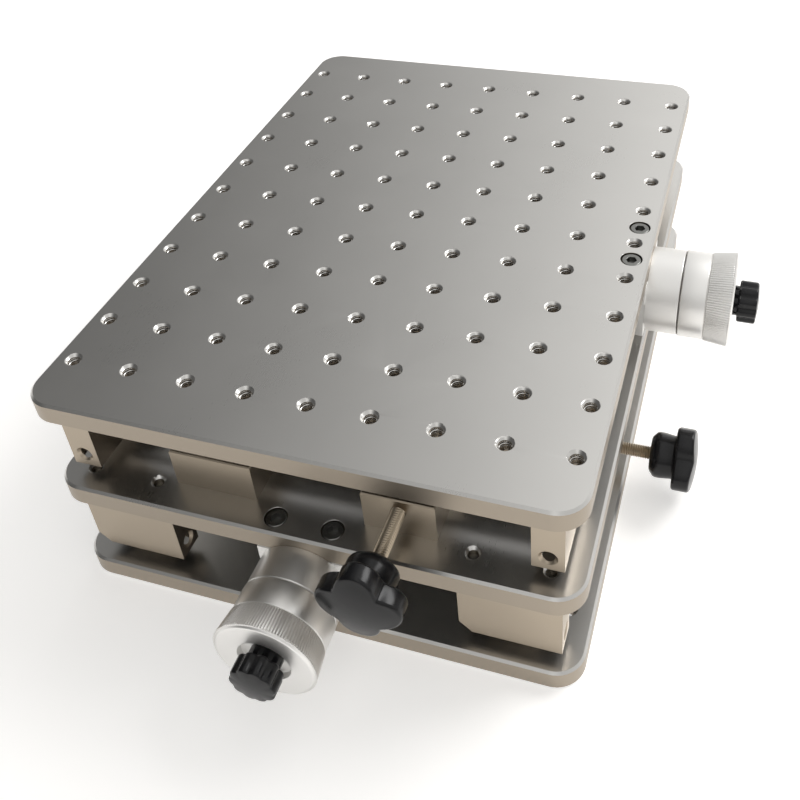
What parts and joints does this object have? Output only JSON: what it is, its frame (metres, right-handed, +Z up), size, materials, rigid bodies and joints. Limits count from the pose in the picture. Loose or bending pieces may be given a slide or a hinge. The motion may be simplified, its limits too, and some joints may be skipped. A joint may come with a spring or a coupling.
{
  "type": "cross slide table",
  "caption": "Two-axis cross slide table: stacked plates on guide rods, lead screws with handwheels, lock knobs, and a grid of tapped holes for fixtures.",
  "frame": {"origin": "centre of the base plate's underside", "axes": "+Z up, +Y from the front handwheel to the rear, +X to the side of the other handwheel"},
  "size_m": [0.2625, 0.3465, 0.102],
  "materials": {
    "anodised_plate": "fine satin, clear anodised",
    "milled_aluminium": "fine milled, clear anodised",
    "turned_aluminium": "fine turned, clear anodised",
    "ground_steel": "ground and polished",
    "screw_steel": "rolled thread",
    "stud_steel": "yellow zinc plated thread",
    "bronze": "machined",
    "brass": "machined",
    "black_oxide_steel": "black oxide",
    "black_plastic": "moulded, glossy"
  },
  "bodies": {
    "base": {"base_plate": "anodised_plate", "y_bearing_block_front_left": "milled_aluminium", "y_bearing_block_rear_left": "milled_aluminium", "y_bearing_block_rear_right": "milled_aluminium", "y_block_screws": "black_oxide_steel", "y_clamp_block": "milled_aluminium", "y_lead_nut": "bronze", "y_nut_block": "milled_aluminium", "y_rod_bushes": "bronze"},
    "carriage": {"carriage_plate": "anodised_plate", "x_bearing_block_left_front": "milled_aluminium", "x_bearing_block_left_rear": "milled_aluminium", "x_bearing_block_right_rear": "milled_aluminium", "x_block_screws": "black_oxide_steel", "x_clamp_block": "milled_aluminium", "x_lead_nut": "bronze", "x_nut_block": "milled_aluminium", "x_rod_bushes": "bronze", "y_bearing_outer_rings": "ground_steel", "y_bracket_screws": "black_oxide_steel", "y_end_block_front_left": "milled_aluminium", "y_end_block_front_right": "milled_aluminium", "y_end_block_rear_left": "milled_aluminium", "y_end_block_rear_right": "milled_aluminium", "y_end_block_screws": "black_oxide_steel", "y_far_bearing_block": "milled_aluminium", "y_guide_rod_left": "ground_steel", "y_guide_rod_right": "ground_steel", "y_handwheel_bracket": "turned_aluminium", "y_set_screws": "black_oxide_steel"},
    "table": {"table_plate": "anodised_plate", "x_bearing_outer_rings": "ground_steel", "x_bracket_screws": "black_oxide_steel", "x_end_block_left_front": "milled_aluminium", "x_end_block_left_rear": "milled_aluminium", "x_end_block_right_front": "milled_aluminium", "x_end_block_right_rear": "milled_aluminium", "x_end_block_screws": "black_oxide_steel", "x_far_bearing_block": "milled_aluminium", "x_guide_rod_front": "ground_steel", "x_guide_rod_rear": "ground_steel", "x_handwheel_bracket": "turned_aluminium", "x_set_screws": "black_oxide_steel"},
    "y_screw": {"y_bearing_inner_rings": "ground_steel", "y_handwheel": "turned_aluminium", "y_lead_screw": "screw_steel", "y_spindle_sleeve": "ground_steel", "y_wheel_nut": "black_plastic"},
    "x_screw": {"x_bearing_inner_rings": "ground_steel", "x_handwheel": "turned_aluminium", "x_lead_screw": "screw_steel", "x_spindle_sleeve": "ground_steel", "x_wheel_nut": "black_plastic"},
    "y_lock_pad": {"y_lock_pad": "brass"},
    "y_lock": {"y_lock_knob": "black_plastic", "y_lock_stud": "stud_steel"},
    "x_lock_pad": {"x_lock_pad": "brass"},
    "x_lock": {"x_lock_knob": "black_plastic", "x_lock_stud": "stud_steel"}
  },
  "joints": [
    {"name": "carriage_slide", "type": "slide", "parent": "base", "child": "carriage", "axis": [0, 1, 0], "range_m": [-0.06, 0.06]},
    {"name": "table_slide", "type": "slide", "parent": "carriage", "child": "table", "axis": [1, 0, 0], "range_m": [-0.03, 0.03]},
    {"name": "y_screw_turn", "type": "hinge", "parent": "carriage", "child": "y_screw", "pos_m": [0, -0.15, 0.0325], "axis": [0, 1, 0], "range_deg": [-5400, 5400]},
    {"name": "x_screw_turn", "type": "hinge", "parent": "table", "child": "x_screw", "pos_m": [0.108, 0, 0.0785], "axis": [1, 0, 0], "range_deg": [-2700, 2700]},
    {"name": "y_lock_slide", "type": "slide", "parent": "base", "child": "y_lock_pad", "axis": [-1, 0, 0], "range_m": [-0.002, 0.00025]},
    {"name": "y_lock_turn", "type": "hinge", "parent": "y_lock_pad", "child": "y_lock", "pos_m": [0.118, -0.044, 0.0215], "axis": [-1, 0, 0], "range_deg": [-720, 90]},
    {"name": "x_lock_slide", "type": "slide", "parent": "carriage", "child": "x_lock_pad", "axis": [0, 1, 0], "range_m": [-0.002, 0.00025]},
    {"name": "x_lock_turn", "type": "hinge", "parent": "x_lock_pad", "child": "x_lock", "pos_m": [0.037, -0.16, 0.0675], "axis": [0, 1, 0], "range_deg": [-720, 90]}
  ],
  "couplings": [
    {"joint": "y_screw_turn", "follows": "carriage_slide", "rad_per_m": 1570.8},
    {"joint": "x_screw_turn", "follows": "table_slide", "rad_per_m": 1570.8},
    {"joint": "y_lock_turn", "follows": "y_lock_slide", "rad_per_m": 6283.2},
    {"joint": "x_lock_turn", "follows": "x_lock_slide", "rad_per_m": 6283.2}
  ]
}
